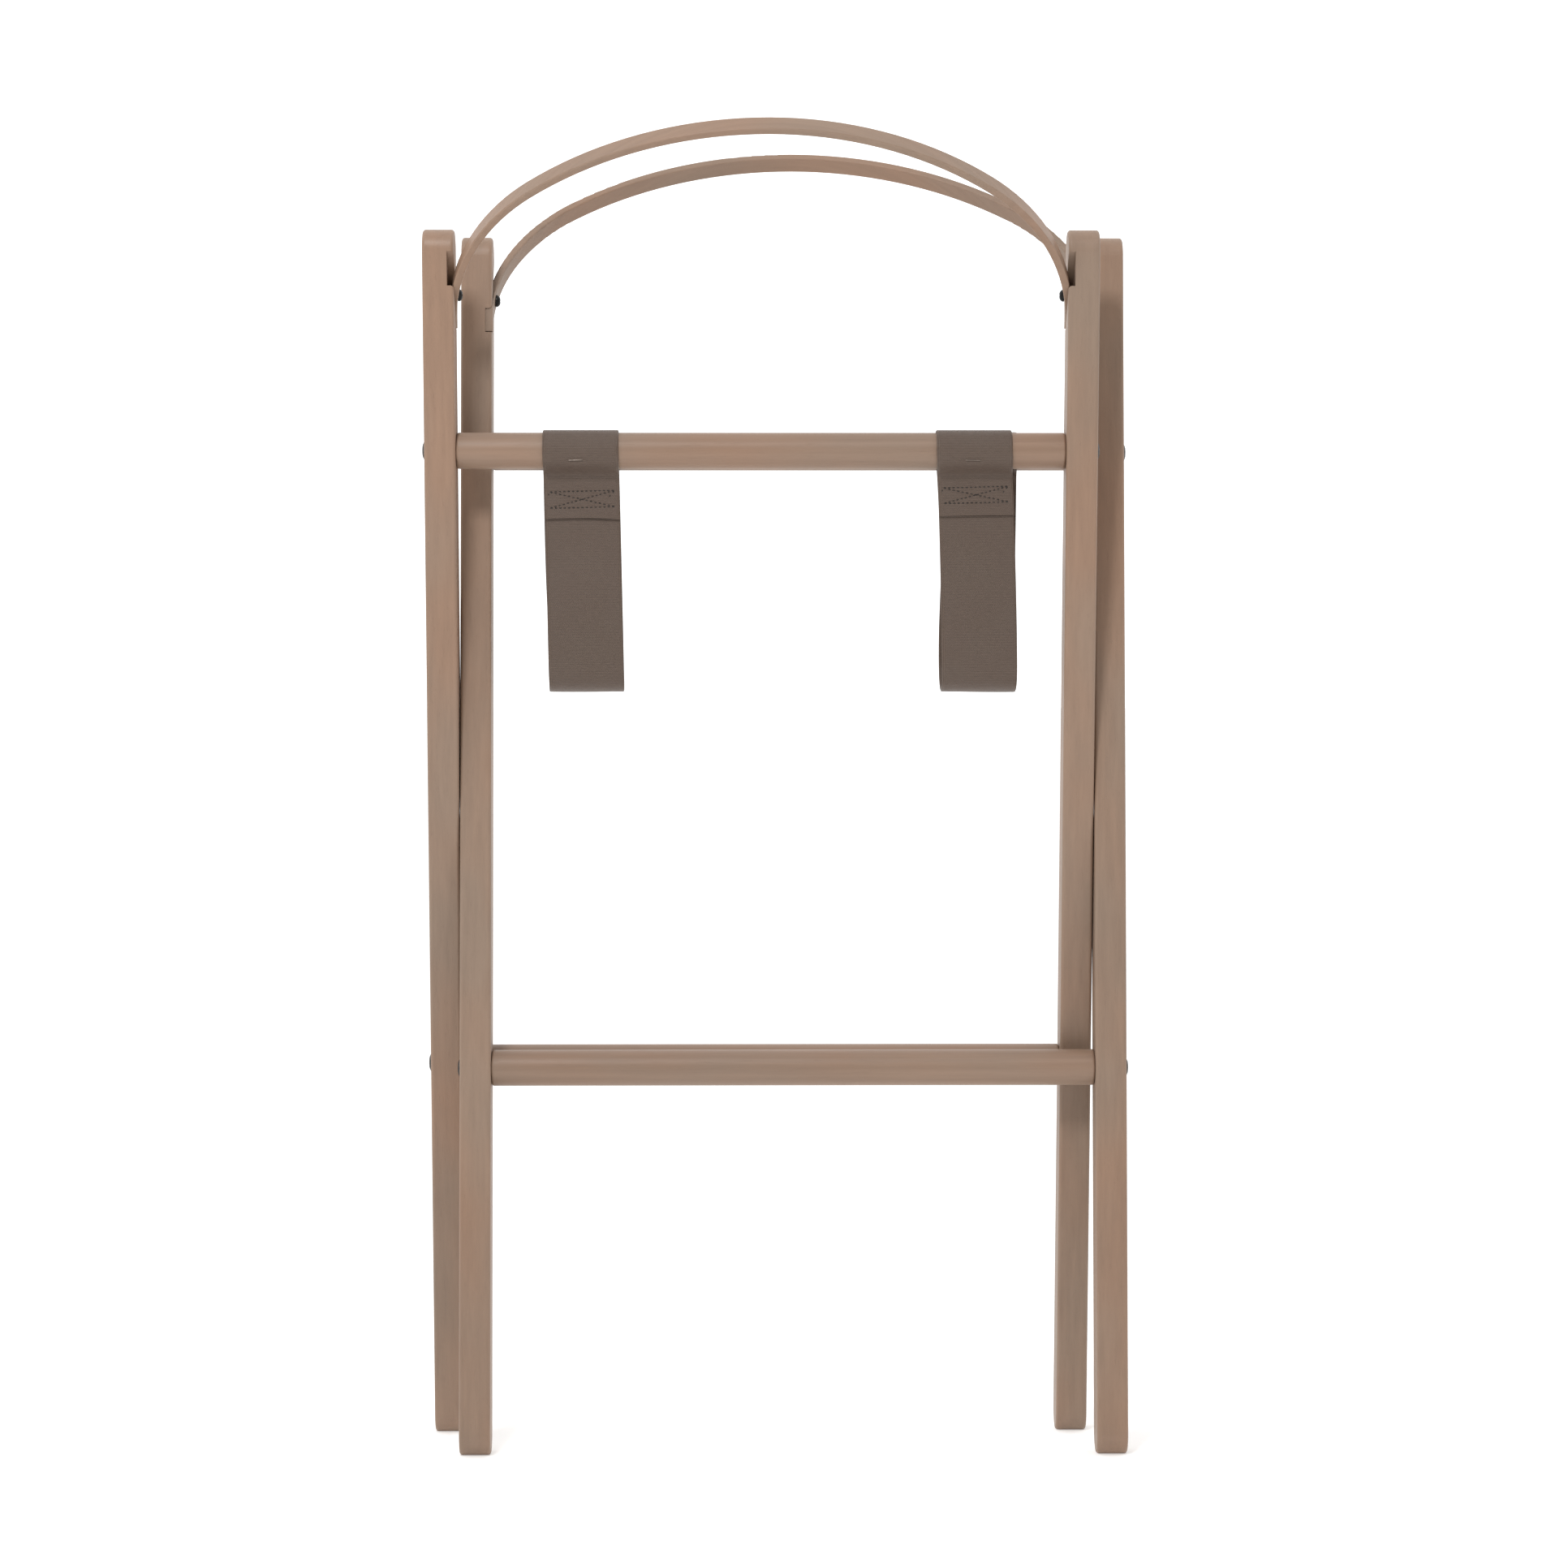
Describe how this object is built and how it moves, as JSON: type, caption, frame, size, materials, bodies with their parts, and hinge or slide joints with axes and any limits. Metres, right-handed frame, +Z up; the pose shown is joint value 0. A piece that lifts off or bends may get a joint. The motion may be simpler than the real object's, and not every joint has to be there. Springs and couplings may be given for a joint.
{
  "type": "folding luggage rack",
  "caption": "Free-standing folding luggage rack: crossed wooden frames with round rails and bent bow tops, hinged like scissors and joined by hanging webbing straps.",
  "frame": {"origin": "on the floor under the middle of the rack, in its folded standing pose", "axes": "+Z up, +X across the rack to the right seen from the front frame's side, +Y towards the rear frame's top"},
  "size_m": [0.4692, 0.2622, 0.8744],
  "materials": {
    "painted_wood": "satin taupe paint over close-grained hardwood",
    "bow_wood": "satin taupe paint on a bent wooden strip",
    "webbing": "dark taupe woven webbing with fine cross ribs and a soft sheen",
    "black_screw": "black oxide pan-head screw",
    "bronze_bolt": "dark bronze low-dome bolt head",
    "brass_insert": "turned brass threaded insert",
    "steel": "plain zinc-plated steel",
    "staple_wire": "taupe-coated staple wire"
  },
  "bodies": {
    "pivots": {"pivot_bolts": "steel", "pivot_washers": "steel"},
    "front_frame": {"front_bow": "bow_wood", "front_bow_screws": "black_screw", "front_inner_leg": "painted_wood", "front_lower_rail": "painted_wood", "front_outer_leg": "painted_wood", "front_pivot_insert": "brass_insert", "front_pivot_plug": "painted_wood", "front_rail_bolts": "bronze_bolt", "front_rail_inserts": "brass_insert", "front_strap_staples": "staple_wire", "front_upper_rail": "painted_wood", "left_strap_front_wrap": "webbing", "right_strap_front_wrap": "webbing"},
    "rear_frame": {"rear_bow": "bow_wood", "rear_bow_screws": "black_screw", "rear_inner_leg": "painted_wood", "rear_lower_rail": "painted_wood", "rear_outer_leg": "painted_wood", "rear_pivot_insert": "brass_insert", "rear_pivot_plug": "painted_wood", "rear_rail_bolts": "bronze_bolt", "rear_rail_inserts": "brass_insert", "rear_strap_staples": "staple_wire", "rear_upper_rail": "painted_wood", "left_strap_rear_wrap": "webbing", "right_strap_rear_wrap": "webbing"},
    "front_webbing": {"left_strap_front_web": "webbing", "right_strap_front_web": "webbing"},
    "front_bend": {"left_strap_front_bend": "webbing", "right_strap_front_bend": "webbing"},
    "front_bottom": {"left_strap_front_bottom": "webbing", "right_strap_front_bottom": "webbing"},
    "rear_webbing": {"left_strap_rear_web": "webbing", "right_strap_rear_web": "webbing"},
    "rear_bend": {"left_strap_rear_bend": "webbing", "right_strap_rear_bend": "webbing"},
    "rear_bottom": {"left_strap_rear_bottom": "webbing", "right_strap_rear_bottom": "webbing"}
  },
  "joints": [
    {"name": "fold", "type": "hinge", "parent": "pivots", "child": "front_frame", "pos_m": [0, 0, 0.4281], "axis": [1, 0, 0], "range_deg": [-0.8, 40.43], "deforming": ["left_strap_front_wrap", "right_strap_front_wrap"]},
    {"name": "front_web_swing", "type": "hinge", "parent": "front_frame", "child": "front_webbing", "pos_m": [0, -0.02205, 0.66578], "axis": [1, 0, 0], "range_deg": [-1, 49.67], "deforming": ["left_strap_front_web", "right_strap_front_web"]},
    {"name": "front_web_bend", "type": "hinge", "parent": "front_webbing", "child": "front_bend", "pos_m": [0, -0.01896, 0.51843], "axis": [1, 0, 0], "range_deg": [-45.09, 0.91], "deforming": ["left_strap_front_bend", "right_strap_front_bend"]},
    {"name": "front_web_bottom", "type": "hinge", "parent": "front_bend", "child": "front_bottom", "pos_m": [0, -0.00785, 0.50732], "axis": [1, 0, 0], "range_deg": [-45.09, 0.91], "deforming": ["left_strap_front_bottom", "right_strap_front_bottom"]},
    {"name": "fold_rear", "type": "hinge", "parent": "pivots", "child": "rear_frame", "pos_m": [0, 0, 0.4281], "axis": [1, 0, 0], "range_deg": [-40.43, 0.8], "deforming": ["left_strap_rear_wrap", "right_strap_rear_wrap"]},
    {"name": "rear_web_swing", "type": "hinge", "parent": "rear_frame", "child": "rear_webbing", "pos_m": [0, 0.02205, 0.66578], "axis": [1, 0, 0], "range_deg": [-49.67, 1], "deforming": ["left_strap_rear_web", "right_strap_rear_web"]},
    {"name": "rear_web_bend", "type": "hinge", "parent": "rear_webbing", "child": "rear_bend", "pos_m": [0, 0.01896, 0.51843], "axis": [1, 0, 0], "range_deg": [-0.91, 45.09], "deforming": ["left_strap_rear_bend", "right_strap_rear_bend"]},
    {"name": "rear_web_bottom", "type": "hinge", "parent": "rear_bend", "child": "rear_bottom", "pos_m": [0, 0.00785, 0.50732], "axis": [1, 0, 0], "range_deg": [-0.91, 45.09], "deforming": ["left_strap_rear_bottom", "right_strap_rear_bottom"]}
  ],
  "couplings": [
    {"joint": "front_web_swing", "follows": "fold", "ratio": 1.2262},
    {"joint": "front_web_bend", "follows": "fold", "ratio": -1.1131},
    {"joint": "front_web_bottom", "follows": "fold", "ratio": -1.1131},
    {"joint": "fold_rear", "follows": "fold", "ratio": -1},
    {"joint": "rear_web_swing", "follows": "fold", "ratio": -1.2262},
    {"joint": "rear_web_bend", "follows": "fold", "ratio": 1.1131},
    {"joint": "rear_web_bottom", "follows": "fold", "ratio": 1.1131}
  ]
}
